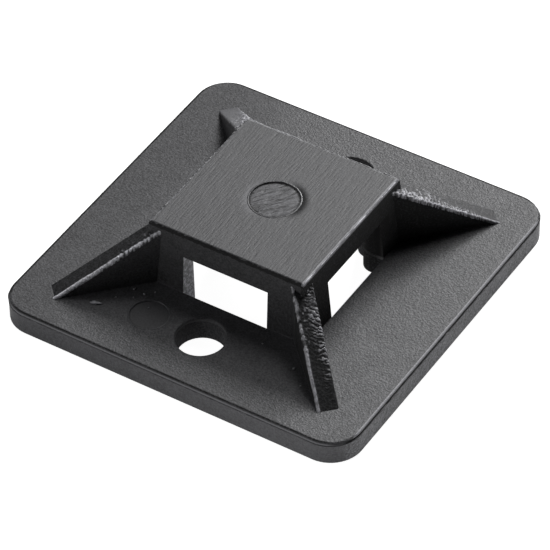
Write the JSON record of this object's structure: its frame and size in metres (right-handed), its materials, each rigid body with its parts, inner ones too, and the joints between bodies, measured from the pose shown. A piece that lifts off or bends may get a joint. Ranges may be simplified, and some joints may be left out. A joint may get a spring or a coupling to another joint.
{
  "type": "cable tie mount",
  "caption": "Square mounting plate with a raised hollow bridge, open on every side, that a cable tie threads through in either direction to hold a wire bundle.",
  "frame": {"origin": "centre of the underside, in the plane of the surface that the mount is fixed to", "axes": "+Z points out of that surface, X and Y run along the sides of the plate, and the screw holes lie on the Y axis"},
  "size_m": [0.028, 0.028, 0.0069],
  "materials": {
    "nylon": "fine spark-eroded grain on the plate, smoother on the bridge"
  },
  "bodies": {
    "root": {"mount_body": "nylon"}
  },
  "joints": []
}
